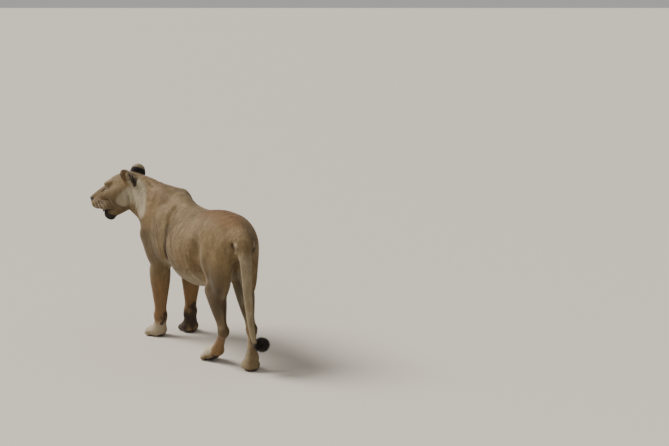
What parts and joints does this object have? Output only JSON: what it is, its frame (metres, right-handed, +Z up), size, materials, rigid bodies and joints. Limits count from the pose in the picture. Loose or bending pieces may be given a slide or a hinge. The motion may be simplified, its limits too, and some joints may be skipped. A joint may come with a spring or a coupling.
{
  "type": "lioness model",
  "caption": "Life-size standing lioness, head turned to her left with the mouth a little open, one hind foot forward, tail hanging to a dark tuft.",
  "frame": {"origin": "on the floor, under the middle of the animal's outline seen from above", "axes": "+Z up, -Y the way the body faces, +X the animal's left"},
  "size_m": [0.5947, 1.5286, 0.9994],
  "materials": {
    "tawny_coat": "short dense coat",
    "face_coat": "very short coat",
    "red_tawny_coat": "short dense coat, redder",
    "pale_coat": "short dense coat, pale",
    "dark_coat": "short coat, stained dark",
    "black_hair": "long loose hair",
    "nose_skin": "bare moist skin",
    "eye_amber": "wet gloss",
    "tongue_pink": "moist"
  },
  "bodies": {
    "root": {"ear_left": "tawny_coat", "ear_right": "tawny_coat", "eye_left": "eye_amber", "eye_right": "eye_amber", "foreleg_left_forearm": "red_tawny_coat", "foreleg_left_paw": "pale_coat", "foreleg_left_upper": "tawny_coat", "foreleg_right_forearm": "red_tawny_coat", "foreleg_right_paw": "dark_coat", "foreleg_right_upper": "tawny_coat", "head": "face_coat", "hindleg_left_foot": "tawny_coat", "hindleg_left_paw": "pale_coat", "hindleg_left_shin": "tawny_coat", "hindleg_left_thigh": "tawny_coat", "hindleg_right_foot": "tawny_coat", "hindleg_right_paw": "pale_coat", "hindleg_right_shin": "tawny_coat", "hindleg_right_thigh": "tawny_coat", "lower_jaw": "dark_coat", "neck": "tawny_coat", "nose_pad": "nose_skin", "tail_lower": "tawny_coat", "tail_middle": "tawny_coat", "tail_tuft": "black_hair", "tail_upper": "tawny_coat", "tongue": "tongue_pink", "trunk_front": "tawny_coat", "trunk_middle": "tawny_coat", "trunk_rear": "tawny_coat"}
  },
  "joints": []
}
